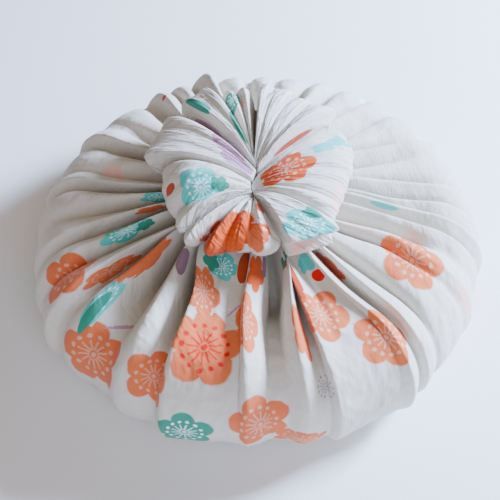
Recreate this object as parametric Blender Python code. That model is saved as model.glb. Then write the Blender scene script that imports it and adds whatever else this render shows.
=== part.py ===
"""Furoshiki wrap: one square of printed cotton gathered over a flat round bundle.

The cloth comes up from the flat foot, rolls over the belly and the shoulder, and runs in deep
pleats to a tied neck. Past the neck its ends puff out into a rosette and tuck back into the core.
The cloth is one piece, so the wrap is one closed solid: rings of points that follow the cloth
from the middle of the foot to the middle of the rosette. Metres, +Z up, standing on z = 0.
"""

import math
from collections import namedtuple

import bmesh
import bpy
import numpy as np

MM = 0.001

# The bundle, measured at the floor of its pleats
FOOT_RADIUS = 0.132
BELLY_RADIUS = 0.1745
BELLY_HEIGHT = 0.043
SHOULDER_RADIUS = 0.130
SHOULDER_HEIGHT = 0.088
NECK_RADIUS = 0.024
NECK_HEIGHT = 0.097

# Rings of points along the cloth
LOWER_RINGS = 5
UPPER_RINGS = 6
TOP_RINGS = 10

# Where along the cloth the columns of the pleat table hold
ROSETTE_COVER_RADIUS = 0.066
MIDDLE_RADIUS = 0.105
RIM_RADIUS = 0.145

LEAN = 0.45  # how far a lapped crest leans over its valley, as a share of its height
ROUNDNESS = 0.8  # under 1 the crests are round and the valleys narrow
FOOT_SHARE = 0.35  # how much of a pleat's height is left at the foot
FULLNESS = 0.86  # under 1 the belly is fuller than a round one towards the foot
NECK_PLEAT_HEIGHT = 4 * MM

# One row for each pleat, round from +X. Degrees of its crest under the rosette, half way out and
# at the rim; millimetres that it stands up under the rosette, half way, at the rim and on the wall;
# lap from -1 to 1, the side on which the crest leans over a steep face; dip, how deep the valley
# after it is; floor, the share of its gentle side that lies flat; out, millimetres that the belly
# stands out there past its radius.
COLUMNS = "neck mid rim high_neck high_mid high_rim high_wall lap dip floor out"
Pleat = namedtuple("Pleat", COLUMNS)
PLEATS = [
    Pleat(7, 6, 5.5, 9, 7, 4, 2, 0.2, 0.8, 0.0, 4),
    Pleat(17, 17, 17, 8, 6, 4, 2, 0.0, 0.5, 0.0, 4),
    Pleat(25, 25, 25, 9, 8, 5, 2, 0.6, 0.9, 0.0, 3),
    Pleat(38, 38, 38, 9, 7, 4, 2, 0.0, 0.6, 0.2, 2),
    Pleat(50, 50, 49, 10, 8, 4, 2, 0.4, 0.8, 0.0, 1),
    Pleat(60, 60, 59, 11, 8, 4, 3, 0.0, 0.8, 0.0, 0),
    Pleat(69, 69, 68, 12, 8, 5, 3, 0.0, 0.9, 0.0, -1),
    Pleat(78, 78, 78, 12, 8, 4, 2, 0.0, 0.8, 0.0, -2),
    Pleat(88, 88, 88, 12, 9, 4, 2, 0.0, 0.9, 0.0, -3),
    Pleat(97, 97, 97, 12, 9, 5, 3, -0.3, 0.8, 0.0, -3),
    Pleat(106, 106, 106, 14, 13, 11, 6, -0.7, 0.8, 0.0, -3),
    Pleat(115, 115, 115, 12, 9, 5, 3, 0.0, 0.8, 0.0, -3),
    Pleat(123, 122.5, 121.5, 13, 9, 6, 3, 0.8, 1.0, 0.0, -3),
    Pleat(136, 136, 136, 9, 6, 4, 2, 0.0, 0.4, 0.3, -3),
    Pleat(149.5, 149.5, 149, 14, 11, 7, 4, 0.9, 1.0, 0.0, -2),
    Pleat(159.5, 160, 160.5, 11, 8, 5, 3, -0.2, 0.6, 0.0, -2),
    Pleat(172.5, 171.5, 169, 12, 9, 6, 3, 0.9, 1.0, 0.0, -1),
    Pleat(181, 179.5, 177.5, 11, 8, 5, 3, 0.3, 0.9, 0.3, 0),
    Pleat(187.5, 189.5, 191.5, 11, 9, 5, 2, 0.8, 1.0, 0.0, 1),
    Pleat(197, 199, 200, 12, 9, 5, 3, -0.2, 0.8, 0.0, 4),
    Pleat(211, 209.5, 211, 14, 12, 8, 4, -0.6, 0.9, 0.0, 7),
    Pleat(215, 219, 220, 12, 11, 6, 3, -0.3, 1.0, 0.3, 6),
    Pleat(226, 234, 239.5, 16, 13, 9, 5, 0.7, 1.0, 0.4, 4),
    Pleat(240, 246.5, 247.5, 14, 12, 9, 6, -0.9, 0.25, 0.0, 4),
    Pleat(254.5, 255.5, 256, 15, 12, 7, 4, 0.8, 1.0, 0.0, 3),
    Pleat(275, 269.5, 269.5, 16, 13, 10, 7, 0.8, 1.0, 0.5, 1),
    Pleat(288, 283.5, 281.5, 14, 11, 9, 5, 0.7, 0.8, 0.3, 4),
    Pleat(291.5, 290.5, 290, 12, 9, 7, 5, -0.9, 0.6, 0.0, 5),
    Pleat(299, 300, 296, 10, 8, 6, 4, 0.0, 0.4, 0.0, 5),
    Pleat(305.5, 305, 305, 15, 12, 8, 6, 0.9, 1.0, 0.0, 6),
    Pleat(313.5, 311.5, 315, 13, 10, 8, 4, -0.4, 0.7, 0.0, 5),
    Pleat(318, 315.5, 320, 13, 10, 4, 2, 0.0, 0.9, 0.0, 5),
    Pleat(334, 334, 331.5, 13, 9, 8, 5, -0.7, 0.5, 0.0, 3),
    Pleat(348, 343, 344, 11, 9, 6, 4, 0.5, 0.9, 0.2, 1),
    Pleat(352, 349, 349.5, 13, 10, 7, 4, 0.7, 1.0, 0.0, 3),
    Pleat(356.5, 355, 357, 12, 9, 6, 3, 0.3, 0.9, 0.0, 3),
]
# A pleat's points across: how far up its flank each is, and on which side of the crest
PLEAT_ACROSS = [(0.0, -1), (0.45, -1), (1.0, 1), (0.45, 1)]

# The rosette
UNDERSIDE_HEIGHT = 0.110
CORE_SIZE = np.array([0.008, 0.040])  # the core is gathered to a slit along Y
CORE_CENTRE = np.array([-0.001, -0.008])
CORE_SPREAD = 0.7  # how far out the slit draws the lobes in, as a share of their reach

# One row for each lobe, round from +X. Degrees of its crest at the core and at the rim;
# millimetres that it reaches out, and that it stands above the underside; lap and dip as above.
Lobe = namedtuple("Lobe", "core rim reach lift lap dip")
LOBES = [
    Lobe(14, 12, 77, 35, 0.0, 0.15),
    Lobe(30, 27, 80, 37, 0.0, 0.15),
    Lobe(45, 42, 82, 39, 0.5, 1.0),
    Lobe(60, 58, 82, 42, 0.0, 0.15),
    Lobe(72, 71, 81, 44, 0.0, 0.2),
    Lobe(86, 84, 80, 45, 0.3, 1.0),
    Lobe(104, 97, 80, 44, 0.0, 0.9),
    Lobe(124, 111, 83, 45, 0.5, 1.0),
    Lobe(143, 128, 84, 41, 0.0, 0.5),
    Lobe(158, 147, 79, 38, 0.0, 0.25),
    Lobe(175, 167, 79, 37, 0.9, 1.0),
    Lobe(192, 191, 70, 39, -0.2, 0.1),
    Lobe(209, 207, 72, 40, 0.0, 0.1),
    Lobe(228, 221, 80, 37, 0.5, 0.9),
    Lobe(243, 233, 88, 33, 0.0, 0.5),
    Lobe(254, 245, 88, 32, 0.0, 0.6),
    Lobe(264, 258, 78, 31, 0.0, 0.5),
    Lobe(274, 270, 81, 32, 0.0, 0.9),
    Lobe(286, 284, 73, 36, -0.8, 0.12),
    Lobe(300, 297, 77, 36, 0.0, 0.12),
    Lobe(314, 311, 82, 35, 0.0, 0.35),
    Lobe(330, 327, 72, 34, 0.0, 0.2),
    Lobe(346, 343, 68, 34, 0.0, 0.2),
    Lobe(360, 358, 73, 35, 0.0, 0.15),
]
# A lobe's points across, as for a pleat
LOBE_ACROSS = [(0.0, -1), (0.3, -1), (0.65, -1), (1.0, 1), (0.65, 1), (0.3, 1)]

# The cloth's way round a lobe, from the neck to the core: shares of its reach and of its lift,
# along its crest and along the valley beside it
Turn = namedtuple("Turn", "crest_reach crest_lift valley_reach valley_lift")
TURNS = [
    Turn(0.50, 0.02, 0.50, 0.02),
    Turn(0.80, 0.06, 0.74, 0.06),
    Turn(0.95, 0.20, 0.85, 0.15),
    Turn(1.00, 0.40, 0.88, 0.25),
    Turn(0.97, 0.64, 0.86, 0.36),
    Turn(0.86, 0.87, 0.78, 0.46),
    Turn(0.69, 1.00, 0.64, 0.52),
    Turn(0.51, 0.98, 0.49, 0.54),
    Turn(0.36, 0.86, 0.36, 0.54),
    Turn(0.24, 0.70, 0.24, 0.52),
    Turn(0.15, 0.55, 0.15, 0.50),
]
RIM_TURN = 3  # the turn at which the cloth starts back in towards the core


def flank(share):
    """Height across a pleat, 0 in the valley and 1 on the crest: a sine, rounded."""
    return math.sin(math.pi / 2 * share) ** ROUNDNESS


def valley_after(crests, laps):
    """Angle of the valley after each crest: close beside a crest that laps over it."""
    ahead = np.roll(crests, -1)
    ahead = np.where(ahead < crests, ahead + 360, ahead)
    right = 1 - 0.75 * np.maximum(laps, 0)
    left = 1 + 0.75 * np.minimum(np.roll(laps, -1), 0)
    return crests + (ahead - crests) * right / (right + left)


def across(crests, laps, floors, points):
    """Angles of every point across the pleats of one ring, pleat by pleat."""
    after = valley_after(crests, laps)
    before = np.roll(after, 1)
    before = np.where(before > crests, before - 360, before)
    angles = []
    for share, side in points:
        flat = np.where((laps >= 0) == (side < 0), floors, 0.0)
        along = flat + (1 - flat) * share if share else np.zeros(len(crests))
        start = before if side < 0 else after
        angles.append(start + (crests - start) * along)
    return np.stack(angles, 1)


def pleat_heights(highs, dips, points):
    """Heights of every point across, from each crest's height and the dip of its valleys."""
    floor_after = (1 - dips) * (highs + np.roll(highs, -1)) / 2
    floor_before = np.roll(floor_after, 1)
    heights = []
    for share, side in points:
        base = floor_before if side < 0 else floor_after
        heights.append(base + (highs - base) * flank(share))
    return np.stack(heights, 1)


def bundle_section():
    """Radius, height and normal of the bundle's rings, from the foot to the neck."""
    rows = []
    for k in range(LOWER_RINGS):
        a = math.pi / 2 * k / LOWER_RINGS
        radius = FOOT_RADIUS + (BELLY_RADIUS - FOOT_RADIUS) * math.sin(a) ** FULLNESS
        rows.append((radius, BELLY_HEIGHT * (1 - math.cos(a) ** FULLNESS), 1.0, 0.0))
    for k in range(UPPER_RINGS):
        a = math.pi / 2 * k / UPPER_RINGS
        radius = SHOULDER_RADIUS + (BELLY_RADIUS - SHOULDER_RADIUS) * math.cos(a)
        height = BELLY_HEIGHT + (SHOULDER_HEIGHT - BELLY_HEIGHT) * math.sin(a)
        rows.append((radius, height, math.cos(a), math.sin(a)))
    for k in range(TOP_RINGS + 1):
        share = k / TOP_RINGS
        radius = SHOULDER_RADIUS + (NECK_RADIUS - SHOULDER_RADIUS) * share
        height = SHOULDER_HEIGHT + (NECK_HEIGHT - SHOULDER_HEIGHT) * share
        rows.append((radius, height, 0.0, 1.0))
    return rows


def bundle_rings():
    """The pleated rings from the foot to the neck, each an array of points."""
    table = np.array(PLEATS, float)
    lap, dip, floor, belly = table[:, 7:].T
    rings = []
    for index, (radius, height, out, up) in enumerate(bundle_section()):
        if index < LOWER_RINGS:
            place = 4 - index / LOWER_RINGS
        else:
            places = [NECK_RADIUS, ROSETTE_COVER_RADIUS, MIDDLE_RADIUS, RIM_RADIUS, BELLY_RADIUS]
            place = np.interp(radius, places, range(-1, 4))
        crests = np.array([np.interp(place, [0, 1, 2], row) for row in table[:, 0:3]])
        stages = np.column_stack(
            [np.full(len(table), NECK_PLEAT_HEIGHT / MM), table[:, 3:7], table[:, 6] * FOOT_SHARE]
        )
        highs = np.array([np.interp(place, range(-1, 5), row) for row in stages]) * MM
        angle = across(crests, lap, floor, PLEAT_ACROSS)
        high = pleat_heights(highs, dip, PLEAT_ACROSS)
        bulge = np.interp(angle, table[:, 2], belly, period=360) * MM
        spread = radius + high * out + bulge * np.clip(place - 1, 0, 1)
        angle = np.radians(angle) + LEAN * high * lap[:, None] / spread
        ring = np.stack([spread * np.cos(angle), spread * np.sin(angle), height + high * up], 2)
        rings.append(ring.reshape(-1, 3))
    return rings


def drawn_to_core(points, share):
    """The points of a ring, at a share of the lobes' reach, drawn in to the slit of the core."""
    last = TURNS[-1].crest_reach
    core_reach = last * np.mean([lobe.reach for lobe in LOBES]) * MM
    pull = np.clip((CORE_SPREAD - share) / (CORE_SPREAD - last), 0, 1)
    squeeze = 1 + pull * (CORE_SIZE / 2 / core_reach - 1)
    return points * squeeze + pull * CORE_CENTRE


def rosette_rings():
    """The lobed rings from the underside, round the rim and over the crests to the core."""
    core, rim, reach, lift, lap, dip = np.array(LOBES, float).T
    side_reach, side_lift = [(v + np.roll(v, -1)) / 2 for v in (reach, lift)]
    rings = []
    for number, turn in enumerate(TURNS):
        crests = core + (rim - core) * turn.crest_reach
        angle = np.radians(across(crests, lap, np.zeros(len(LOBES)), LOBE_ACROSS))
        crest_out = reach * turn.crest_reach
        crest_up = lift * turn.crest_lift
        valley_out = side_reach * (turn.crest_reach + dip * (turn.valley_reach - turn.crest_reach))
        valley_up = side_lift * (turn.crest_lift + dip * (turn.valley_lift - turn.crest_lift))
        out, up = [], []
        for share, side in LOBE_ACROSS:
            turned = 1 if side < 0 else 0
            start_out = np.roll(valley_out, turned)
            start_up = np.roll(valley_up, turned)
            out.append(start_out + (crest_out - start_out) * flank(share))
            up.append(start_up + (crest_up - start_up) * flank(share))
        out = np.stack(out, 1) * MM
        up = np.stack(up, 1) * MM
        flat = np.stack([out * np.cos(angle), out * np.sin(angle)], 2)
        if number >= RIM_TURN:
            flat = drawn_to_core(flat, turn.crest_reach)
        ring = np.concatenate([flat, UNDERSIDE_HEIGHT + up[:, :, None]], 2)
        rings.append(ring.reshape(-1, 3))
    return rings


def centred(rings):
    """The rings moved so that the middle of their outline stands over the origin."""
    points = np.concatenate(rings)
    middle = (points.min(0) + points.max(0)) / 2
    middle[2] = 0
    return [ring - middle for ring in rings]


def closed_mesh(name, rings, last_point):
    """One closed mesh: a flat face inside the first ring, quads between rings, a fan at the end."""
    shape = bmesh.new()
    loops = [[shape.verts.new(point) for point in ring] for ring in rings]
    count = len(loops[0])
    shape.faces.new(list(reversed(loops[0])))
    for low, high in zip(loops, loops[1:]):
        for k in range(count):
            ahead = (k + 1) % count
            shape.faces.new([low[k], low[ahead], high[ahead], high[k]])
    tip = shape.verts.new(last_point)
    for k in range(count):
        shape.faces.new([loops[-1][k], loops[-1][(k + 1) % count], tip])
    mesh = bpy.data.meshes.new(name)
    shape.to_mesh(mesh)
    shape.free()
    return mesh


def printed_cotton():
    """Off-white cotton, matt, in the mean colour of its plum-blossom print."""
    material = bpy.data.materials.new("printed_cotton")
    material.use_nodes = True
    shader = material.node_tree.nodes["Principled BSDF"]
    shader.inputs["Base Color"].default_value = (0.80, 0.72, 0.66, 1.0)
    shader.inputs["Roughness"].default_value = 0.9
    shader.inputs["Metallic"].default_value = 0.0
    return material


def furoshiki_cloth():
    """The whole wrap, one cloth and one solid."""
    rings = centred(bundle_rings() + rosette_rings())
    tip = rings[-1].mean(0)
    mesh = closed_mesh("furoshiki_cloth", rings, tip)
    mesh.materials.append(printed_cotton())
    mesh.shade_smooth()
    cloth = bpy.data.objects.new("furoshiki_cloth", mesh)
    bpy.context.scene.collection.objects.link(cloth)
    return cloth


for thing in list(bpy.data.objects):
    bpy.data.objects.remove(thing)
furoshiki_cloth()
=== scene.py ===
import math

import bpy
import numpy as np
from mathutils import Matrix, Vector


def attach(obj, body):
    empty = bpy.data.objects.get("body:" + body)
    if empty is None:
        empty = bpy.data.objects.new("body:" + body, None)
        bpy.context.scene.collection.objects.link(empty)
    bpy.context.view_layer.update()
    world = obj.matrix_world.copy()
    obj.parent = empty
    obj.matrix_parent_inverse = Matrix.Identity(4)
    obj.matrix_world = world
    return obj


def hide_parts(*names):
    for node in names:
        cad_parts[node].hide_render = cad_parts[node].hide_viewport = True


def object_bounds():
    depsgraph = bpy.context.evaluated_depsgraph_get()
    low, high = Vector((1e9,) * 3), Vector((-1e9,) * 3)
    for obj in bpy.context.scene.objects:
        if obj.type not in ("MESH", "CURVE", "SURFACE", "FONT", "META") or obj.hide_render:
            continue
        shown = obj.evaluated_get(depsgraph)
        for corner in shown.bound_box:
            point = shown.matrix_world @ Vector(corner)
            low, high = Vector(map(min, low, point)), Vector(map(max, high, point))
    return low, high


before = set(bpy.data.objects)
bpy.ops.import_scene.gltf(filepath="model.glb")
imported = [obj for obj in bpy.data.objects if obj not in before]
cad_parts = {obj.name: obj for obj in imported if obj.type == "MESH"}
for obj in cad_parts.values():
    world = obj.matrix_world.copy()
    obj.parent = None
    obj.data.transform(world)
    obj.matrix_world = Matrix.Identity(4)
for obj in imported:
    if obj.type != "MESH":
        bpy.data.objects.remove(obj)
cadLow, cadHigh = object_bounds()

mm = 0.001
tiny = 1e-9  # keeps a length of nothing from dividing by zero
print("furoshiki: frame loaded")


# sRGB hex to the linear values that the shader wants
def linearColour(hexCode, alpha=1.0):
    channels = [int(hexCode[k:k + 2], 16) / 255 for k in (0, 2, 4)]
    linear = [c / 12.92 if c <= 0.04045 else ((c + 0.055) / 1.055) ** 2.4 for c in channels]
    return (*linear, alpha)


# The photo's view: the camera looks down on the bundle's front from a little under a metre
camera = {
    "elevation": 50.0,  # degrees
    "distance": 0.9,
    "target": (0.0, 0.0, 0.05),
    "lens": 80.46,  # mm
    "sensor": 36.0,  # mm
    "shift": (-0.016, -0.0202),
}


def makeCamera():
    data = bpy.data.cameras.new("camera")
    data.lens = camera["lens"]
    data.sensor_width = camera["sensor"]
    data.shift_x, data.shift_y = camera["shift"]
    obj = bpy.data.objects.new("camera", data)
    bpy.context.scene.collection.objects.link(obj)
    tilt = math.radians(camera["elevation"])
    back = Vector((0.0, -math.cos(tilt), math.sin(tilt)))
    obj.location = Vector(camera["target"]) + back * camera["distance"]
    obj.rotation_euler = (-back).to_track_quat("-Z", "Y").to_euler()
    bpy.context.scene.camera = obj


makeCamera()
print("furoshiki: camera set")

# The cloth, as it lies over the flat round bundle. Sizes in metres unless a note says otherwise.
cloth = {
    "side": 0.90,  # the square that it was cut to
    "columns": 14,  # points across a pleat
    "footRings": 6,
    "wallRings": 26,
    "shoulderRings": 24,
    "topRings": 50,
    "rosetteRings": 58,
    "tuckRings": 10,
    "footRadius": 0.132,
    "bellyRadius": 0.1745,
    "bellyHeight": 0.043,
    "shoulderRadius": 0.130,
    "shoulderHeight": 0.088,
    "neckRadius": 0.024,
    "neckHeight": 0.097,
    "coverRadius": 0.066,  # the rosette hides the pleats inside this
    "middleRadius": 0.105,
    "rimRadius": 0.145,
    "fullness": 0.86,  # under 1 the belly is fuller towards the foot than a round one
    "lean": 0.55,  # how far a lapped crest leans over, as a share of its height
    "lapShift": 0.75,  # how much nearer a valley lies to a crest that laps fully over it
    "roundness": 0.75,  # under 1 the crests are round and the valleys narrow
    "crevices": (26 * mm, 46 * mm, 22 * mm, 7 * mm, 2 * mm, 0.0),  # how deep at each place, see below
    "creviceWidth": 4.5,  # the higher, the narrower
    "neckPleat": 5 * mm,
    "footShare": 0.35,  # how much of a pleat's height is left at the foot
    "unevenness": ((0.5, (80, 2), 3), (0.25, (130, 4), 4)),  # mm, cells round and along, seed
    "unevenShares": (0.6, 1.0, 0.8, 0.5, 0.35, 0.0),  # how much of it there is at each place
    "footClear": 0.3 * mm,
}

# The places along a pleat that its values are given for: at the neck, at the rosette's edge, half way
# out, at the rim, at the belly and at the foot
neckPlace, coverPlace, midPlace, rimPlace, bellyPlace, footPlace = range(6)

# One row for each pleat, round from +X: degrees of its crest under the rosette, half way out and at
# the rim; mm that it stands up under the rosette, half way, at the rim and on the wall; lap from -1
# to 1, the side on which it leans over a steep face; dip, how deep the valley after it is; before and
# after, the share of each flank that lies flat; crisp, from 0 for a round fold to 1 for a sharp one
# with straight flanks; out, mm that the belly stands out there past its radius.
pleatNames = "neck mid rim highNeck highMid highRim highWall lap dip before after crisp out"
pleatRows = [
    (7, 6, 5.5, 12, 9, 5, 2, 0.8, 0.9, 0.2, 0.0, 1.0, 4),
    (17, 17, 17, 8, 6, 4, 2, 0.0, 0.5, 0.0, 0.0, 0.4, 4),
    (25, 25, 25, 12, 10, 6, 2, 0.9, 1.0, 0.2, 0.0, 1.0, 3),
    (38, 38, 38, 9, 6, 3, 1, 0.0, 0.5, 0.2, 0.2, 0.3, 2),
    (50, 50, 49, 12, 9, 5, 2, 0.8, 0.9, 0.2, 0.0, 0.9, 1),
    (60, 60, 59, 11, 7, 3, 1, 0.0, 0.8, 0.2, 0.2, 0.6, 0),
    (69, 69, 68, 12, 8, 4, 2, 0.3, 0.9, 0.3, 0.0, 0.8, -1),
    (78, 78, 78, 12, 7, 3, 1, 0.0, 0.7, 0.2, 0.2, 0.6, -2),
    (88, 88, 88, 12, 8, 4, 1, -0.4, 0.9, 0.0, 0.3, 0.8, -3),
    (97, 97, 97, 12, 8, 4, 1, -0.3, 0.8, 0.2, 0.2, 0.6, -3),
    (107, 107, 107, 15, 15, 12, 6, -0.5, 0.9, 0.0, 0.1, 0.4, -3),
    (115, 115, 115, 10, 7, 5, 2, 0.0, 0.6, 0.2, 0.2, 0.5, -3),
    (123, 122.5, 121.5, 13, 10, 6, 3, 0.8, 1.0, 0.1, 0.0, 1.0, -3),
    (136, 136, 136, 9, 6, 3, 1, 0.0, 0.4, 0.3, 0.3, 0.2, -3),
    (149.5, 149.5, 149, 14, 12, 7, 3, 0.9, 1.0, 0.2, 0.0, 1.0, -2),
    (159.5, 160, 160.5, 10, 7, 3, 1, -0.2, 0.5, 0.0, 0.2, 0.7, -2),
    (172.5, 171.5, 169, 12, 10, 6, 3, 0.9, 1.0, 0.1, 0.0, 1.0, -1),
    (181, 179.5, 177.5, 11, 8, 4, 2, 0.3, 0.8, 0.2, 0.2, 0.6, 0),
    (187.5, 189.5, 191.5, 12, 10, 6, 3, 0.8, 1.0, 0.2, 0.0, 1.0, 1),
    (197, 199, 200, 14, 11, 6, 3, 0.5, 1.0, 0.2, 0.0, 0.9, 4),
    (211, 209.5, 211, 16, 14, 9, 5, 0.6, 0.9, 0.0, 0.2, 0.8, 7),
    (215, 219, 220, 13, 12, 7, 3, 0.0, 1.0, 0.4, 0.4, 0.6, 6),
    (226, 233, 237, 17, 15, 11, 6, 0.3, 1.0, 0.5, 0.3, 0.6, 4),
    (242, 249.5, 250, 17, 15, 12, 8, -0.9, 0.1, 0.0, 0.0, 0.95, 5),
    (256, 259, 262, 7, 5, 4, 2, 0.0, 0.1, 0.0, 0.0, 0.8, 3),
    (275, 269.5, 269, 17, 15, 12, 8, -0.8, 1.0, 0.0, 0.3, 0.95, 1),
    (288, 283.5, 281.5, 16, 13, 10, 6, 0.2, 0.8, 0.5, 0.2, 0.8, 4),
    (291.5, 290.5, 290, 13, 12, 10, 7, -0.9, 0.15, 0.0, 0.0, 0.95, 6),
    (299, 300, 299, 9, 7, 5, 4, 0.0, 0.15, 0.0, 0.0, 0.6, 5),
    (306, 306, 309, 17, 14, 10, 8, -0.9, 0.7, 0.0, 0.2, 0.95, 7),
    (313, 313, 314, 14, 12, 9, 5, -0.6, 0.6, 0.0, 0.0, 0.8, 6),
    (321, 324, 323, 10, 9, 7, 4, 0.0, 0.25, 0.0, 0.0, 0.3, 4),
    (333, 338, 335, 14, 12, 10, 6, -0.5, 0.5, 0.2, 0.0, 0.9, 3),
    (346, 346, 346, 12, 10, 7, 4, 0.4, 0.9, 0.2, 0.0, 0.8, 1),
    (352, 351, 351, 13, 11, 8, 5, 0.8, 1.0, 0.2, 0.0, 1.0, 3),
    (357, 356, 358, 12, 9, 6, 3, 0.6, 1.0, 0.1, 0.0, 0.9, 3),
]

# The rosette that the ends puff out into, tucked back into a slit at its core
rosette = {
    "columns": 18,  # points across a lobe
    "height": 0.110,  # of its underside
    "coreSize": (0.002, 0.030),
    "coreCentre": (-0.001, -0.015),
    "coreSway": 2.5 * mm,  # how far the slit at the core bends aside
    "creviceDepth": 13 * mm,
    "creviceWidth": 5.0,  # the higher, the narrower
    "creviceChoice": 3,  # a power of the dip: the higher, the fewer of the valleys have one
    "creases": ((1.8 * mm, (50, 2), 11), (0.7 * mm, (90, 3), 12)),  # height, cells, seed
    "creaseCrest": 0.6,  # how far the ridge of a crease stands up, as a share of its height
    "creaseSwing": 1.6,  # how far it is from there down to its trough, in the same way
    "creaseFade": (0.3, 0.15),  # shares of the way, at the neck and at the core, where they fade
    "lean": 0.5,  # how far a lapped crest leans over, as a share of leanHeight
    "leanHeight": 8 * mm,
    "leanReach": 15 * mm,  # nearer the core than this, it leans no further
    "overReach": 1.2,  # how far past its rim a lobe may stand, as a share of its reach
    "throat": 9 * mm,  # how far the ends run down into the core before they spread
    "throatRings": 2,
    "pinch": 0.1,  # how wide the slit is left at its throat, as a share of its width above
    "tuckRadius": 0.034,
    "tuckHeight": 0.1205,
    "tuckWaves": 48,
    "tuckSwing": 5 * mm,
}

# One row for each lobe, round from +X: degrees of its crest at the core and at the rim; mm that it
# reaches out, and that it stands above the underside; lap, dip and crisp as for a pleat; flat, from 0
# for a puffed lobe to 1 for a flat one with a folded edge; lip, how far its edge hangs over a fold
# beneath it; gather, how far the creases of the gathering show on it.
lobeNames = "core rim reach lift lap dip crisp flat lip gather"
lobeRows = [
    (2, 13, 77, 35, 0.0, 0.12, 0.2, 0.2, 0.0, 0.3),
    (18, 27, 78, 33, 0.0, 1.0, 0.3, 0.1, 0.0, 0.3),
    (36, 43, 84, 44, -0.6, 0.15, 0.8, 0.4, 0.0, 0.4),
    (52, 59, 79, 41, 0.0, 0.14, 0.4, 0.2, 0.0, 0.6),
    (64, 71, 82, 43, 0.0, 0.14, 0.3, 0.1, 0.0, 0.6),
    (76, 84, 85, 45, 0.4, 1.0, 0.4, 0.2, 0.0, 0.6),
    (91, 97, 83, 42, 0.0, 0.3, 0.3, 0.2, 0.0, 0.3),
    (101, 106, 82, 41, 0.0, 0.7, 0.4, 0.3, 0.0, 0.4),
    (120, 118, 88, 46, 0.0, 0.1, 0.5, 0.4, 0.0, 0.5),
    (140, 131, 87, 44, 0.4, 1.0, 0.8, 0.5, 0.0, 0.5),
    (162, 147, 84, 42, 0.0, 0.1, 0.3, 0.4, 0.0, 0.4),
    (174, 160, 82, 40, 0.0, 0.1, 0.4, 0.5, 0.0, 0.4),
    (185, 173, 84, 41, 0.95, 1.0, 0.95, 0.9, 0.0, 0.25),
    (203, 188, 70, 39, 0.0, 0.05, 0.0, 0.0, 0.0, 0.1),
    (213, 201, 73, 41, 0.0, 0.05, 0.0, 0.0, 0.0, 0.1),
    (223, 212, 75, 38, 0.0, 0.45, 0.3, 0.0, 0.0, 0.15),
    (240, 225, 82, 36, 0.7, 0.9, 0.7, 0.2, 0.0, 0.25),
    (250, 235, 88, 32, 0.0, 1.0, 0.7, 0.5, 0.0, 0.4),
    (258, 247, 88, 31, 0.0, 0.4, 0.6, 0.4, 0.0, 0.5),
    (264, 260, 78, 30, 0.0, 0.35, 0.5, 0.3, 0.0, 0.5),
    (271, 274, 81, 31, 0.0, 0.8, 0.6, 0.3, 0.0, 0.3),
    (282, 290, 83, 36, -0.9, 0.03, 0.9, 0.9, 1.0, 0.1),
    (290, 300, 85, 36, 0.0, 0.03, 0.3, 0.9, 1.0, 0.1),
    (302, 310, 89, 36, 0.3, 0.3, 0.8, 0.9, 0.8, 0.1),
    (318, 321, 77, 35, 0.0, 0.2, 0.4, 0.5, 0.2, 0.2),
    (330, 334, 72, 34, 0.0, 0.1, 0.2, 0.3, 0.0, 0.3),
    (340, 346, 71, 34, 0.0, 0.15, 0.4, 0.2, 0.0, 0.35),
    (350, 360, 74, 35, 0.0, 0.12, 0.3, 0.2, 0.0, 0.3),
]

# The cloth's way round a lobe, from the neck to the core: shares of its reach and lift along the crest
# of a puffed one and of a flat one, what a lip adds to them, and along the valley beside it
turnNames = "puffReach puffLift flatReach flatLift lipReach lipLift valleyReach valleyLift"
turnRows = [
    (0.50, 0.02, 0.50, 0.02, 0.00, 0.00, 0.50, 0.02),
    (0.80, 0.06, 0.76, 0.07, 0.04, -0.02, 0.74, 0.06),
    (0.95, 0.20, 0.91, 0.22, 0.06, -0.02, 0.85, 0.15),
    (1.00, 0.40, 0.98, 0.42, -0.10, 0.02, 0.88, 0.25),
    (0.97, 0.64, 1.00, 0.60, 0.02, 0.03, 0.86, 0.36),
    (0.86, 0.87, 0.91, 0.74, 0.00, 0.00, 0.78, 0.46),
    (0.70, 1.00, 0.75, 0.86, 0.00, 0.00, 0.64, 0.52),
    (0.52, 0.99, 0.57, 0.92, 0.00, 0.00, 0.49, 0.55),
    (0.36, 0.90, 0.40, 0.88, 0.00, 0.00, 0.36, 0.56),
    (0.24, 0.76, 0.26, 0.76, 0.00, 0.00, 0.24, 0.54),
    (0.15, 0.64, 0.15, 0.62, 0.00, 0.00, 0.15, 0.54),
]
rimTurn = 3  # the turn at which the cloth starts back in towards the core


# The rows of a table, as one array for each named column
def readTable(names, rows):
    return dict(zip(names.split(), np.array(rows, float).T))


# Smooth values between the rows of a table: a cubic through neighbouring rows (Catmull-Rom), where
# places counts rows from 0, and rows and places may each be arrays
def through(places, rows):
    rows = np.asarray(rows, float)
    places = np.clip(places, 0, len(rows) - 1)
    index = np.minimum(places.astype(int), len(rows) - 2)
    t = (places - index).reshape((-1,) + (1,) * (rows.ndim - 1))
    before, start = rows[np.maximum(index - 1, 0)], rows[index]
    end, after = rows[index + 1], rows[np.minimum(index + 2, len(rows) - 1)]
    return start + t * (end - before) / 2 + t ** 2 * (before - 2.5 * start + 2 * end - after / 2) \
        + t ** 3 * (1.5 * start - 1.5 * end + (after - before) / 2)


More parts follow.
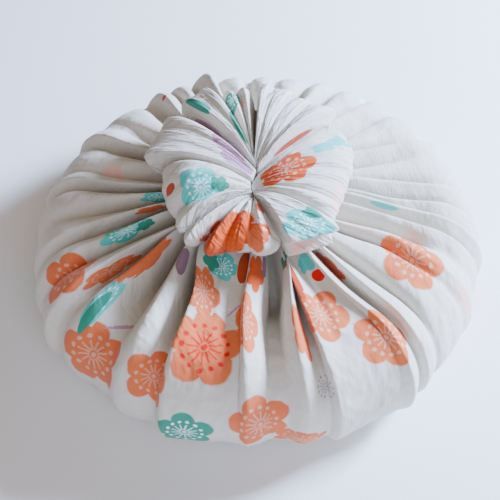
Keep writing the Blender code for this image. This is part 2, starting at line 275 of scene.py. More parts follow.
# Smooth noise from -1 to 1 that repeats round the ring: random values on a lattice of around by
# along cells, blended by an eased step; around and along are arrays that count from 0 to 1
def ringNoise(around, along, cells, seed):
    lattice = np.random.default_rng(seed).uniform(-1, 1, (cells[1] + 2, cells[0]))
    u, v = (around % 1) * cells[0], np.clip(along, 0, 1) * cells[1]
    i, j = np.floor(u).astype(int), np.floor(v).astype(int)
    fu, fv = u - i, v - j
    fu, fv = fu * fu * (3 - 2 * fu), fv * fv * (3 - 2 * fv)
    left, right = i % cells[0], (i + 1) % cells[0]
    low = lattice[j, left] * (1 - fu) + lattice[j, right] * fu
    high = lattice[j + 1, left] * (1 - fu) + lattice[j + 1, right] * fu
    return low * (1 - fv) + high * fv


# Where each column of a ring lies: how far from its valley (0) up to its crest (1), and its side
def acrossFold(columns):
    down = columns // 2
    up = columns - down
    share = np.concatenate([np.arange(up) / up, np.arange(down, 0, -1) / down])
    return share, np.where(np.arange(columns) < up, -1, 1)


# Degrees of every column, and its share of the way up its flank. The valley after a crest lies close
# beside it where the crest laps over it, and before and after are the shares of the two flanks that
# lie flat. Arrays are ring by fold by column.
def foldAngles(crests, lap, before, after, columns):
    ahead = np.roll(crests, -1, axis=1)
    ahead = np.where(ahead < crests, ahead + 360, ahead)
    right = 1 - cloth["lapShift"] * np.maximum(lap, 0)
    left = 1 + cloth["lapShift"] * np.minimum(np.roll(lap, -1), 0)
    end = crests + (ahead - crests) * right / (right + left)
    start = np.roll(end, 1, axis=1)
    start = np.where(start > crests, start - 360, start)
    share, side = acrossFold(columns)
    valley = np.where(side < 0, start[..., None], end[..., None])
    angles = valley + (crests[..., None] - valley) * share
    flat = np.where(side < 0, before[:, None], after[:, None])
    return angles, np.clip((share - flat) / (1 - flat), 0, 1)


# A value of the valley after each fold, given to every column of the two flanks that meet there
def eachSide(after, columns):
    before = np.roll(after, 1, axis=1)
    return np.where(acrossFold(columns)[1] < 0, before[..., None], after[..., None])


# How far a flank has risen at each share of the climb: a rounded sine, which a crisp fold draws out
# to a straight line
def flankRise(climb, crisp):
    soft = np.sin(np.pi / 2 * climb) ** cloth["roundness"]
    return soft + (climb - soft) * crisp[:, None]


# Height of every column: from the valley's floor to the crest, and a narrow crevice at the valley
def foldHeights(high, dip, climb, crisp, crevice):
    base = eachSide((1 - dip) * (high + np.roll(high, -1, axis=1)) / 2, climb.shape[-1])
    depth = eachSide(crevice * dip, climb.shape[-1])
    rise = flankRise(climb, crisp)
    return base + (high[..., None] - base) * rise - depth * (1 - climb) ** cloth["creviceWidth"]


# The section of the bundle from the foot to the neck, at the floor of its pleats: radius, height and
# the direction in which the pleats stand, as its parts out and up. A fuller quarter round up to the
# belly, a quarter ellipse over the shoulder, and a straight slope to the neck.
def bundleSection():
    c = cloth
    lower = np.linspace(0, np.pi / 2, c["wallRings"], endpoint=False)
    upper = np.linspace(0, np.pi / 2, c["shoulderRings"], endpoint=False)
    top = np.linspace(0, 1, c["topRings"])
    reach = c["bellyRadius"] - c["footRadius"]
    radius = np.concatenate([
        c["footRadius"] + reach * np.sin(lower) ** c["fullness"],
        c["shoulderRadius"] + (c["bellyRadius"] - c["shoulderRadius"]) * np.cos(upper),
        c["shoulderRadius"] + (c["neckRadius"] - c["shoulderRadius"]) * top,
    ])
    height = np.concatenate([
        c["bellyHeight"] * (1 - np.cos(lower) ** c["fullness"]),
        c["bellyHeight"] + (c["shoulderHeight"] - c["bellyHeight"]) * np.sin(upper),
        c["shoulderHeight"] + (c["neckHeight"] - c["shoulderHeight"]) * top,
    ])
    out = np.concatenate([np.ones_like(lower), np.cos(upper), np.zeros_like(top)])
    up = np.concatenate([np.zeros_like(lower), np.sin(upper), np.ones_like(top)])
    return radius, height, out, up


# Where each column of each fold lies round the ring, counted from 0 to 1
def ringShares(folds):
    return (np.arange(folds.size) / folds.size).reshape(folds.shape)[None]


# Points of the bundle: each ring of the section, its radius and height raised by the pleats, and its
# angle turned by the lean of lapped crests, which starts at the neck. Rings by columns by 3.
def bundlePoints():
    c, p = cloth, readTable(pleatNames, pleatRows)
    radius, height, out, up = bundleSection()
    marks = [c["neckRadius"], c["coverRadius"], c["middleRadius"], c["rimRadius"], c["bellyRadius"]]
    place = np.interp(radius, marks, range(bellyPlace + 1))
    wall = np.arange(len(radius)) < c["wallRings"]
    place = np.where(wall, footPlace - np.arange(len(radius)) / c["wallRings"], place)
    given = np.clip(place, coverPlace, rimPlace) - coverPlace
    crests = through(given, [p["neck"], p["mid"], p["rim"]])
    neck = np.full(len(pleatRows), c["neckPleat"] / mm)
    foot = p["highWall"] * c["footShare"]
    stages = [neck, p["highNeck"], p["highMid"], p["highRim"], p["highWall"], foot]
    high = through(place, stages) * mm
    angles, climb = foldAngles(crests, p["lap"], p["before"], p["after"], c["columns"])
    crevice = through(place, c["crevices"])[:, None]
    heights = foldHeights(high, p["dip"], climb, p["crisp"], crevice)
    around = ringShares(heights[0])
    along = (np.arange(len(radius)) / len(radius))[:, None, None]
    near = np.interp(place, range(footPlace + 1), c["unevenShares"])[:, None, None]
    heights = heights + near * mm * sum(
        size * ringNoise(around, along, cells, seed) for size, cells, seed in c["unevenness"])
    bulge = np.interp(angles, p["rim"], p["out"], period=360) * mm
    bulge = bulge * np.clip(place - midPlace, 0, 1)[:, None, None]
    spread = radius[:, None, None] + heights * out[:, None, None] + bulge
    lean = c["lean"] * p["lap"][:, None] * np.clip(place - neckPlace, 0, 1)[:, None, None]
    turn = np.radians(angles) + lean * np.maximum(heights, 0) / spread
    level = height[:, None, None] + heights * up[:, None, None]
    points = np.stack([spread * np.cos(turn), spread * np.sin(turn), level], -1)
    return points.reshape(len(radius), -1, 3)


# Points of the rosette: each ring is a turn of every lobe, out from the neck, round the rim, and
# straight back in to the slit at the core
def rosettePoints():
    r, lobe = rosette, readTable(lobeNames, lobeRows)
    turn = readTable(turnNames, turnRows)
    places = np.linspace(0, len(turnRows) - 1, cloth["rosetteRings"])
    steps = {name: through(places, values)[:, None] for name, values in turn.items()}
    zero = np.zeros(len(lobeRows))
    crests = lobe["rim"] + 0 * steps["puffReach"]
    angles, climb = foldAngles(crests, lobe["lap"], zero, zero, r["columns"])
    rise = flankRise(climb, lobe["crisp"])

    def level(size, name):
        crest = steps["puff" + name] + lobe["lip"] * steps["lip" + name]
        crest = crest + lobe["flat"] * (steps["flat" + name] - steps["puff" + name])
        valley = crest + lobe["dip"] * (steps["valley" + name] - crest)
        start = eachSide((size + np.roll(size, -1)) / 2 * valley, r["columns"])
        return start + ((size * crest)[..., None] - start) * rise

    out, up = level(lobe["reach"], "Reach") * mm, level(lobe["lift"], "Lift") * mm
    # the crevices plunge and the gathers stand square to the cloth's way
    away, rising = np.gradient(out, axis=0), np.gradient(up, axis=0)
    length = np.hypot(away, rising) + tiny
    depth = r["creviceDepth"] * lobe["dip"] ** r["creviceChoice"]
    plunge = eachSide(depth + 0 * crests, r["columns"]) * (1 - climb) ** r["creviceWidth"]
    around = ringShares(rise[0])
    along = (places / places[-1])[:, None, None]
    start, end = r["creaseFade"]
    shown = np.clip(np.minimum(along / start, (1 - along) / end), 0, 1) * lobe["gather"][:, None]
    for height, cells, seed in r["creases"]:
        crease = np.abs(ringNoise(around, along, cells, seed))
        plunge = plunge - shown * height * (r["creaseCrest"] - r["creaseSwing"] * crease)
    out, up = out - plunge * rising / length, up + plunge * away / length
    lean = r["lean"] * lobe["lap"][:, None] * rise * r["leanHeight"]
    radians = np.radians(angles) + lean / np.maximum(out, r["leanReach"])
    flat = np.stack([out * np.cos(radians), out * np.sin(radians)], -1)
    # from the rim on, each column runs straight in to its place round the slit
    rim = int(np.argmax(places >= rimTurn))
    slit = lobe["core"][None] + 0 * crests[:1]
    slit = np.radians(foldAngles(slit, lobe["lap"], zero, zero, r["columns"])[0])
    centre, size = np.array(r["coreCentre"]), np.array(r["coreSize"])
    core = centre + size / 2 * np.stack([np.cos(slit), np.sin(slit)], -1)
    core[..., 0] += r["coreSway"] * np.sin(2 * np.pi * (core[..., 1] - centre[1]) / size[1])
    share = np.clip((out[rim:] - out[-1]) / (out[rim] - out[-1]), 0, r["overReach"])[..., None]
    flat[rim:] = core + (flat[rim] - core) * share
    points = np.concatenate([flat, r["height"] + up[..., None]], -1)
    return points.reshape(len(places), -1, 3)


# Points of the hem, tucked into the rosette out of sight: down from the core's ring, then out to a
# ring that waves up and down
def tuckPoints(start):
    r, count = rosette, cloth["tuckRings"]
    middle = start.mean(0)
    throat = middle + (start - middle) * [r["pinch"], 1, 0] - [0, 0, r["throat"]]
    angle = np.linspace(0, 2 * np.pi, start.shape[0], endpoint=False)
    wave = r["tuckHeight"] + r["tuckSwing"] * np.sin(r["tuckWaves"] * angle)
    end = np.stack([r["tuckRadius"] * np.cos(angle), r["tuckRadius"] * np.sin(angle), wave], -1)
    down = (np.arange(r["throatRings"])[:, None, None] + 1) / (r["throatRings"] + 1)
    share = np.arange(count)[:, None, None] / (count - 1)
    return np.concatenate([start + (throat - start) * down, throat + (end - throat) * share])


# Points of the foot: the first ring shrunk evenly towards the middle, flat on the surface
def footPoints(first):
    share = (np.arange(cloth["footRings"]) + 1)[:, None, None] / (cloth["footRings"] + 1)
    middle = first.mean(0)
    return middle + (first - middle) * share


# The inks of the print, and what it is made of: plum blossoms in coral and turquoise, and small drops
# and brush marks between them. Not all of them are print: the dark brown is painted shade in creases
# and valleys, the dark mauve is mauve print darkened as painted shade, and the deep coral is coral
# print on the rosette that also stands for painted shade in the valleys below it.
inks = {
    "coral": "e0703f", "deep_coral_and_painted_shade": "d4541c", "turquoise": "58c6ba", "teal": "2f9076", "mauve": "bb8fa8",
    "red": "d81000", "pale": "e6a68c", "mist": "e4f6f2", "grey": "8f8a92", "blush": "f3c3b4",
    "haze": "c9ebe8", "painted_crease_shade": "b8431a", "painted_shade_mauve": "93707f",
}
gatherStretch = 9.0  # how much longer than wide the small creases of the gathering are
motifReach = 1.5  # how far from its middle a motif is looked for, in halves of its size
noMotif = 9.0  # a place that lies outside every motif
clear = (1, 1, 1, 0)  # no ink

# One row for each motif. First where it is: degrees round the cloth, in which each of the 36 pleats
# has ten, however wide it is, and mm along the cloth from the middle of its foot. Then mm of half its
# length round the cloth and of half its width; degrees that it is turned; its petals, or 0 for a drop;
# its ink, and the ink of its stamens. Where folds hide most of a blossom, only the part between them
# is drawn. Those of the second layer are printed over the first. The dark brown and dark mauve rows,
# and the deep coral rows on the pleats by the neck, are painted shade in creases and valleys rather
# than print.
petalsColumn, inkColumn, fineColumn = 5, 6, 7
motifRows = {
    "under": [
        # the front, from left to right
        (201, 260, 26, 26, 10, 5, "coral", "pale"),
        (219, 229, 30, 29, 40, 5, "coral", "pale"),
        (229, 240, 23, 24, 15, 5, "coral", "pale"),
        (240, 272, 29, 29, 20, 5, "coral", "red"),
        (238, 312, 14, 20, 0, 5, "coral", "pale"),
        (255, 292, 15, 24, 5, 5, "coral", "pale"),
        (257, 216, 25, 25, 30, 5, "coral", "pale"),
        (264, 193, 22, 14, 0, 5, "coral", "pale"),
        (267, 286, 10, 24, 0, 5, "coral", None),
        (279, 293, 21, 22, 50, 5, "coral", "pale"),
        (291, 260, 23, 23, 60, 5, "coral", "pale"),
        (321, 284, 27, 26, 12, 5, "coral", "pale"),
        (239, 202, 22, 22, 20, 5, "teal", "mist"),
        # coral print painted darker as shade in the valleys just below the rosette
        (256, 334, 10, 16, 0, 5, "deep_coral_and_painted_shade", None),
        (301, 330, 11, 18, 0, 5, "deep_coral_and_painted_shade", None),
        (241, 339, 14, 12, 0, 5, "turquoise", "mist"),
        (264, 344, 8, 7, 0, 5, "teal", None),
        (283, 337, 9, 8, 0, 5, "turquoise", None),
        # painted shade: dark brown and dark mauve in the valleys close to the rosette
        (276, 320, 4, 22, 0, 0, "painted_crease_shade", None),
        (248, 341, 5, 14, 0, 0, "painted_crease_shade", None),
        (226, 327, 7, 10, 0, 0, "painted_shade_mauve", None),
        (270, 242, 15, 15, 0, 5, None, "grey"),
        (324, 231, 8, 15, 0, 5, "blush", None),
        # the left, between its folds
        (208, 290, 8, 26, 0, 5, "coral", "pale"),
        (216, 317, 7, 22, 0, 5, "coral", None),
        # painted shade: dark brown in the valley beside the rosette
        (221, 337, 9, 18, 0, 0, "painted_crease_shade", None),
        (215, 302, 6, 20, 0, 5, "coral", None),
        (187, 334, 5, 13, 0, 5, "coral", None),
        (216, 268, 7, 28, 0, 2, "turquoise", "mist"),
        (196, 312, 11, 22, 0, 5, "turquoise", "mist"),
        (177, 342, 6, 16, 0, 5, "turquoise", "mist"),
        (159, 296, 11, 11, 0, 5, "blush", None),
        # the right and the back
        (331, 341, 13, 12, 0, 5, "blush", None),
        (344, 316, 2.5, 11, 0, 0, "turquoise", None),
        (52, 247, 15, 8, 0, 5, "haze", None),
        # the rosette, its left puff first
        (202, 492, 20, 20, 0, 5, "turquoise", "mist"),
        (238, 477, 52, 28, 0, 5, "deep_coral_and_painted_shade", None),
        (260, 474, 12, 16, 0, 5, "coral", None),
        (266, 510, 5, 9, 0, 5, "deep_coral_and_painted_shade", None),
        (290, 478, 20, 17, 30, 5, "turquoise", "mist"),
        (284, 448, 10, 9, 0, 0, "blush", None),
        (324, 465, 16, 6, 0, 0, "blush", None),
        (349, 513, 20, 22, 0, 5, "deep_coral_and_painted_shade", "pale"),
        (11, 472, 8, 12, 0, 5, "turquoise", None),
        (7, 487, 6, 10, 0, 5, "turquoise", None),
        (89, 490, 9, 12, 0, 5, None, "coral"),
        (98, 486, 15, 11, 0, 5, "teal", "mist"),
        (110, 517, 4, 12, 0, 0, "teal", None),
        (122, 482, 5, 16, 0, 2, "teal", None),
        # painted shade: the brown of a shaded fold on the rosette
        (192, 467, 4, 5, 0, 0, "painted_crease_shade", None),
        # the side that the photo doesn't show, and under the foot, in the same rhythm
        (345, 175, 24, 24, 20, 5, "coral", "pale"),
        (2, 190, 22, 22, 40, 5, "turquoise", "mist"),
        (20, 180, 25, 25, 0, 5, "coral", "pale"),
        (38, 175, 14, 14, 30, 5, "teal", "mist"),
        (60, 190, 26, 26, 15, 5, "coral", "red"),
        (80, 175, 22, 22, 50, 5, "turquoise", "mist"),
        (100, 190, 25, 25, 10, 5, "coral", "pale"),
        (122, 175, 24, 24, 35, 5, "coral", "pale"),
        (140, 190, 15, 15, 0, 5, "teal", "mist"),
        (158, 175, 25, 25, 25, 5, "coral", "pale"),
        (180, 180, 22, 22, 5, 5, "turquoise", "mist"),
        (300, 160, 20, 20, 10, 5, "turquoise", "mist"),
        (322, 155, 24, 24, 30, 5, "coral", "pale"),
        (30, 110, 26, 26, 0, 5, "coral", "pale"),
        (100, 90, 24, 24, 20, 5, "turquoise", "mist"),
        (160, 115, 26, 26, 40, 5, "coral", "pale"),
        (225, 95, 25, 25, 10, 5, "coral", "pale"),
        (280, 120, 22, 22, 50, 5, "teal", "mist"),
        (330, 90, 25, 25, 30, 5, "coral", "pale"),
    ],
    "over": [
        (285, 323, 5, 5, 0, 0, "red", None),
        (126, 268, 3.5, 2.5, 0, 0, "red", None),
        (258, 333, 24, 3, 90, 0, "mauve", None),
        # painted shade: mauve darkened in a valley by the neck
        (257, 346, 10, 4, 90, 0, "painted_shade_mauve", None),
        (221, 267, 18, 1.8, 45, 0, "mauve", None),
        (247, 305, 7, 1, 45, 0, "mauve", None),
        (109, 264, 8, 1.2, 90, 0, "mauve", None),
        (197, 327, 5, 8, 0, 5, "teal", None),
        (239, 339, 8, 8, 0, 5, "teal", None),
        (216, 259, 4, 20, 0, 0, "teal", None),
        (325, 327, 2, 16, 0, 0, "blush", None),
        (202, 509, 7, 9, 0, 5, "teal", None),
        (301, 487, 8, 7, 0, 5, "teal", None),
        # painted shade: dark brown creases on the rosette
        (236, 472, 4, 24, 0, 0, "painted_crease_shade", None),
        (28, 505, 3, 20, 0, 0, "painted_crease_shade", None),
        (127, 493, 7, 17, 0, 0, "mauve", None),
        (129, 508, 6, 16, 0, 0, "mauve", None),
        (137, 518, 8, 13, 0, 0, "mauve", None),
        (150, 527, 6, 12, 0, 0, "mauve", None),
    ],
}


# Length along the cloth from the middle of the foot to each ring, taken along the crests, where the
# print shows
def ringPaths(rings):
    crests = rings[:, cloth["columns"] // 2::cloth["columns"]]
    steps = np.linalg.norm(np.diff(crests, axis=0), axis=2).mean(1)
    first = np.linalg.norm(crests[0] - rings[0].mean(0), axis=1).mean()
    return first + np.concatenate([[0], np.cumsum(steps)])


# Each ring's length from its first column to each of the others and back to the first
def ringLengths(rings):
    steps = np.linalg.norm(np.roll(rings, -1, axis=1) - rings, axis=2)
    return np.concatenate([np.zeros((len(rings), 1)), np.cumsum(steps, axis=1)], axis=1)


# For each corner of each face, its place on the nearest motif, from -1 to 1 inside it: the length
# round the ring from the motif's middle, and the length along the cloth, turned by its tilt. Also
# which motif that is, or none where it is too far to show.
def nearestMotif(rings, rows):
    lengths, paths = ringLengths(rings), ringPaths(rings) / mm
    lengths = lengths / mm
    columns, whole = rings.shape[1], lengths[:, -1:]
    best = np.full((len(rings) - 1, columns), motifReach)
    chosen = np.full(best.shape, -1)
    places = np.full((*best.shape, 4, 2), noMotif)
    for number, row in enumerate(rows):
        turn, along, long, wide, tilt = row[:petalsColumn]
        column = turn / 360 * columns
        before, after = lengths[:, int(column)], lengths[:, int(column) + 1]
        u = lengths - (before + (column % 1) * (after - before))[:, None]
        u = np.where(u > whole / 2, u - whole, np.where(u < -whole / 2, u + whole, u))
        v = np.repeat(paths[:, None] - along, columns + 1, axis=1)
        c, d = math.cos(math.radians(tilt)), math.sin(math.radians(tilt))
        local = np.stack([(u * c + v * d) / long, (v * c - u * d) / wide], -1)
        corners = np.stack([local[:-1, :-1], local[:-1, 1:], local[1:, 1:], local[1:, :-1]], 2)
        far = np.linalg.norm(corners, axis=-1).mean(2)
        nearer = far < best
        best = np.where(nearer, far, best)
        chosen = np.where(nearer, number, chosen)
        places = np.where(nearer[..., None, None], corners, places)
    return places, chosen


# One mesh of the rings: a fan in the middle of the foot, quads between the rings, open at the hem
def ringMesh(name, rings):
    count, columns = rings.shape[:2]
    points = np.concatenate([rings[0].mean(0)[None], rings.reshape(-1, 3)])
    ring = np.arange(count * columns).reshape(count, columns) + 1
    ahead = np.roll(ring, -1, axis=1)
    fan = np.stack([np.zeros(columns, int), ahead[0], ring[0]], -1)
    quads = np.stack([ring[:-1], ahead[:-1], ahead[1:], ring[1:]], -1).reshape(-1, 4)
    mesh = bpy.data.meshes.new(name)
    mesh.from_pydata(points.tolist(), [], fan.tolist() + quads.tolist())
    mesh.shade_smooth()
    return mesh


# The print on the mesh, in two layers: each has a UV map of places on the motifs and attributes on
# the faces for the motif's petals and its two inks, clear where it has none. The weave has a UV map
# of its own, the flat cloth in mm, and the small creases have each point's place on a tube as wide
# as its ring, drawn together along the cloth.
def layPrint(mesh, rings):
    fan = rings.shape[1]
    blank = np.full((fan * 3, 2), noMotif)
    for layer, rows in motifRows.items():
        places, chosen = nearestMotif(rings, rows)
        uv = mesh.uv_layers.new(name=layer)
        uv.data.foreach_set("uv", np.concatenate([blank, places.reshape(-1, 2)]).ravel())
        which = np.concatenate([np.full(fan, -1), chosen.ravel()])
        petals = np.array([row[petalsColumn] for row in rows] + [0], float)
        attribute = mesh.attributes.new(layer + "Petals", "FLOAT", "FACE")
        attribute.data.foreach_set("value", petals[which])
        for column, name in ((inkColumn, "Ink"), (fineColumn, "Fine")):
            colours = [linearColour(inks[row[column]]) if row[column] else clear for row in rows]
            colours = np.array(colours + [clear])
            attribute = mesh.attributes.new(layer + name, "FLOAT_COLOR", "FACE")
            attribute.data.foreach_set("color", colours[which].ravel())
    lengths, paths = ringLengths(rings) / mm, ringPaths(rings)[:, None] / mm
    turn = 2 * np.pi * lengths / lengths[:, -1:]
    circle = np.stack([np.cos(turn), np.sin(turn)], -1)
    tube = circle * lengths[:, -1:, None] / (2 * np.pi)
    drawn = np.repeat(paths / gatherStretch, turn.shape[1], 1)[..., None]
    gather = np.concatenate([tube, drawn], -1)[:, :-1]
    gather = np.concatenate([[[0, 0, 0]], gather.reshape(-1, 3)])
    mesh.attributes.new("gather", "FLOAT_VECTOR", "POINT").data.foreach_set("vector", gather.ravel())
    flat = paths[..., None] * circle
    corners = np.stack([flat[:-1, :-1], flat[:-1, 1:], flat[1:, 1:], flat[1:, :-1]], 2)
    foot = np.stack([0 * flat[0, :-1], flat[0, 1:], flat[0, :-1]], 1)
    uv = mesh.uv_layers.new(name="weave")
    uv.data.foreach_set("uv", np.concatenate([foot.reshape(-1, 2), corners.reshape(-1, 2)]).ravel())


def makeCloth():
    body = bundlePoints()
    ends = rosettePoints()
    tuck = tuckPoints(ends[-1])
    body[..., 2] += cloth["footClear"] * (body[..., 2] < cloth["bellyHeight"])
    rings = np.concatenate([footPoints(body[0]), body, ends, tuck])
    middle = (rings.min((0, 1)) + rings.max((0, 1))) / 2
    place = (np.array(cadLow) + np.array(cadHigh)) / 2
    rings[..., :2] += (place - middle)[:2]
    mesh = ringMesh("furoshiki_sheet", rings)
    layPrint(mesh, rings)
    obj = bpy.data.objects.new("furoshiki_sheet", mesh)
    bpy.context.scene.collection.objects.link(obj)
    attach(obj, "root")
    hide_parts("furoshiki_cloth")
    return obj


sheet = makeCloth()
print("furoshiki: cloth made,", len(sheet.data.polygons), "faces")


# One node, with its settings and its links: settings are attributes, or sockets by name or number,
# and a link is given as an output or as a node, whose first output in use it takes
def addNode(tree, kind, settings=None, links=None):
    node = tree.nodes.new("ShaderNode" + kind)
    for key, value in (settings or {}).items():
        if isinstance(key, str) and hasattr(node, key):
            setattr(node, key, value)
        else:
            node.inputs[key].default_value = value
    for key, source in (links or {}).items():
        if isinstance(source, bpy.types.Node):
            source = next(output for output in source.outputs if output.enabled)
        tree.links.new(source, node.inputs[key])
    return node


def plainMaterial(name, hexCode, roughness):
    material = bpy.data.materials.new(name)
    material.use_nodes = True
    shader = material.node_tree.nodes["Principled BSDF"]
    shader.inputs["Base Color"].default_value = linearColour(hexCode)
    shader.inputs["Roughness"].default_value = roughness
    return material


# Printed cotton: a plain weave of thin carded cotton, washed soft, matt and off-white. Its inks are
# screen-printed, flat and a little uneven, and leave the weave showing.
cotton = {
    "ground": "dfd8ca",
    "slub": "d3cabb",  # the thicker and thinner threads
    "roughness": 0.85,
    "specular": 0.25,
    "sheen": 0.15,
    "slubWidth": 5.0,  # mm; the threads, 0.3 mm apart, are too fine to show and are drawn coarser
    "slubDetail": 4.0,
    # the small creases that the gathering leaves: mm of their width, the depth of the relief, detail
    "gathers": (5.0, 0.6 * mm, 3.0),
    # soft dents left by folding and handling, in the same way
    "dents": (26.0, 4 * mm, 2.0),
    "notch": 0.30,  # depth of the notch between two petals, as a share of the blossom's radius
    "petalRoundness": 0.75,
    "stamens": 13,
    "anthers": 0.57,  # ring of the stamens' dots, as a share of the radius
    "antherSize": 0.062,
    "filaments": (0.13, 0.43, 0.02),  # start, end and half the width of the stamens' lines
    "heart": 0.075,
    "edge": 0.03,  # softness of a printed edge
    "waver": 0.07,  # how far the hand-cut screen strays, as a share of the radius
    "strayWidth": 14.0,  # mm
    "strayDetail": 1.0,
}


# One layer of the print over a colour. A blossom's edge is a circle drawn in at the notches, by the
# cosine of half its petals times the angle; with no petals it is a plain circle, which a long motif
# stretches. On it go a heart, fine lines outwards, and a ring of dots beyond them.
def addPrint(tree, layer, ground, waver):
    c = cotton
    place = addNode(tree, "UVMap", {"uv_map": layer})
    moved = addNode(tree, "VectorMath", {"operation": "ADD"}, {0: place, 1: waver})
    split = addNode(tree, "SeparateXYZ", None, {0: moved})
    flat = addNode(tree, "CombineXYZ", None, {0: split.outputs[0], 1: split.outputs[1]})
    radius = addNode(tree, "VectorMath", {"operation": "LENGTH"}, {0: flat}).outputs["Value"]
    angle = addNode(tree, "Math", {"operation": "ARCTAN2"}, {0: split.outputs[1], 1: split.outputs[0]})
    petals = addNode(tree, "Attribute", {"attribute_name": layer + "Petals"}).outputs["Fac"]
    halved = addNode(tree, "Math", {"operation": "MULTIPLY", 1: 0.5}, {0: petals})
    phase = addNode(tree, "Math", {"operation": "MULTIPLY"}, {0: halved, 1: angle})
    cosine = addNode(tree, "Math", {"operation": "COSINE"}, {0: phase})
    size = addNode(tree, "Math", {"operation": "ABSOLUTE"}, {0: cosine})
    lobe = addNode(tree, "Math", {"operation": "POWER", 1: c["petalRoundness"]}, {0: size})
    limit = addNode(tree, "Math", {"operation": "MULTIPLY_ADD", 1: c["notch"], 2: 1 - c["notch"]},
                    {0: lobe})
    within = addNode(tree, "Math", {"operation": "SUBTRACT"}, {0: limit, 1: radius})
    body = addNode(tree, "MapRange", {"From Min": -c["edge"], "From Max": c["edge"]}, {0: within})

    turned = addNode(tree, "Math", {"operation": "MULTIPLY", 1: c["stamens"] / 2}, {0: angle})
    sine = addNode(tree, "Math", {"operation": "SINE"}, {0: turned})
    arc = addNode(tree, "Math", {"operation": "MULTIPLY"}, {0: radius, 1: sine})
    beside = addNode(tree, "Math", {"operation": "MULTIPLY", 1: 2 / c["stamens"]}, {0: arc})
    past = addNode(tree, "Math", {"operation": "SUBTRACT", 1: c["anthers"]}, {0: radius})
    offset = addNode(tree, "CombineXYZ", None, {0: past, 1: beside})
    spot = addNode(tree, "VectorMath", {"operation": "LENGTH"}, {0: offset}).outputs["Value"]
    start, end, half = c["filaments"]
    middle = addNode(tree, "Math", {"operation": "SUBTRACT", 1: (start + end) / 2}, {0: radius})
    along = addNode(tree, "Math", {"operation": "ABSOLUTE"}, {0: middle})
    over = addNode(tree, "Math", {"operation": "SUBTRACT", 1: (end - start) / 2}, {0: along})
    aside = addNode(tree, "Math", {"operation": "ABSOLUTE"}, {0: beside})
    wide = addNode(tree, "Math", {"operation": "SUBTRACT", 1: half}, {0: aside})
    line = addNode(tree, "Math", {"operation": "MAXIMUM"}, {0: over, 1: wide})
    dot = addNode(tree, "Math", {"operation": "SUBTRACT", 1: c["antherSize"]}, {0: spot})
    heart = addNode(tree, "Math", {"operation": "SUBTRACT", 1: c["heart"]}, {0: radius})
    nearest = addNode(tree, "Math", {"operation": "MINIMUM"}, {0: line, 1: dot})
    nearest = addNode(tree, "Math", {"operation": "MINIMUM"}, {0: nearest, 1: heart})
    sharp = c["edge"] / 2
    fine = addNode(tree, "MapRange", {"From Min": sharp, "From Max": -sharp}, {0: nearest})

    colour = ground
    for name, mask in (("Ink", body), ("Fine", fine)):
        ink = addNode(tree, "Attribute", {"attribute_name": layer + name})
        amount = addNode(tree, "Math", {"operation": "MULTIPLY"}, {0: mask, 1: ink.outputs["Alpha"]})
        colour = addNode(tree, "Mix", {"data_type": "RGBA"},
                         {"Factor": amount, "A": colour, "B": ink.outputs["Color"]})
    return colour


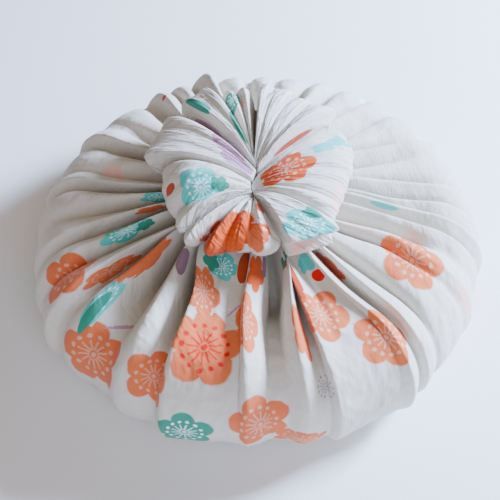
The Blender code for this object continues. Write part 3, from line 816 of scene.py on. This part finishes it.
# Printed cotton's node tree: the ground, the two layers of print, and a relief of small creases and
# soft dents
def printedCotton():
    c = cotton
    material = plainMaterial("printed_cotton", c["ground"], c["roughness"])
    tree = material.node_tree
    shader = tree.nodes["Principled BSDF"]
    shader.inputs["Sheen Weight"].default_value = c["sheen"]
    shader.inputs["Specular IOR Level"].default_value = c["specular"]
    weave = addNode(tree, "UVMap", {"uv_map": "weave"})
    slub = addNode(tree, "TexNoise", {"Scale": 1 / c["slubWidth"], "Detail": c["slubDetail"]},
                   {"Vector": weave})
    ground = addNode(tree, "Mix", {"data_type": "RGBA", "A": linearColour(c["ground"]),
                                   "B": linearColour(c["slub"])}, {"Factor": slub})
    stray = addNode(tree, "TexNoise", {"Scale": 1 / c["strayWidth"], "Detail": c["strayDetail"]},
                    {"Vector": weave})
    waver = addNode(tree, "VectorMath", {"operation": "MULTIPLY_ADD", 1: (2 * c["waver"],) * 3,
                                         2: (-c["waver"],) * 3}, {0: stray.outputs["Color"]})
    printed = ground
    for layer in motifRows:
        printed = addPrint(tree, layer, printed, waver)
    tree.links.new(printed.outputs["Result"], shader.inputs["Base Color"])

    gather = addNode(tree, "Attribute", {"attribute_name": "gather"}).outputs["Vector"]
    relief = None
    for source, (width, height, detail) in ((gather, c["gathers"]), (weave, c["dents"])):
        noise = addNode(tree, "TexNoise", {"Scale": 1 / width, "Detail": detail}, {"Vector": source})
        links = {"Height": noise.outputs["Fac"]}
        if relief:
            links["Normal"] = relief
        relief = addNode(tree, "Bump", {"Strength": 1.0, "Distance": height}, links)
    tree.links.new(relief.outputs["Normal"], shader.inputs["Normal"])
    return material


sheet.data.materials.append(printedCotton())

# The pale floor and the soft light of a studio
studio = {
    "floorSize": 6.0,
    "floorColour": "fcfcfc",
    "floorRoughness": 0.9,
    "skyColour": "fbe3cb",
    "skyStrength": 0.37,
    "key": {"place": (1.15, 0.45, 0.8), "size": 0.4, "power": 136.0, "colour": "bcd3ff"},
    "fill": {"place": (0.2, -1.1, 0.8), "size": 0.8, "power": 10.0, "colour": "cfdfff"},
}


def makeStudio():
    half = studio["floorSize"] / 2
    mesh = bpy.data.meshes.new("floor")
    mesh.from_pydata([(-half, -half, 0), (half, -half, 0), (half, half, 0), (-half, half, 0)],
                     [], [(0, 1, 2, 3)])
    floor = bpy.data.objects.new("floor", mesh)
    bpy.context.scene.collection.objects.link(floor)
    mesh.materials.append(plainMaterial("white_card", studio["floorColour"], studio["floorRoughness"]))
    world = bpy.data.worlds.new("studio")
    world.use_nodes = True
    background = world.node_tree.nodes["Background"]
    background.inputs["Color"].default_value = linearColour(studio["skyColour"])
    background.inputs["Strength"].default_value = studio["skyStrength"]
    bpy.context.scene.world = world
    for name in ("key", "fill"):
        lamp = studio[name]
        light = bpy.data.lights.new(name, "AREA")
        light.size = lamp["size"]
        light.energy = lamp["power"]
        light.color = linearColour(lamp["colour"])[:3]
        obj = bpy.data.objects.new(name, light)
        bpy.context.scene.collection.objects.link(obj)
        obj.location = lamp["place"]
        obj.rotation_euler = (-obj.location).to_track_quat("-Z", "Y").to_euler()


makeStudio()
print("furoshiki: studio set")
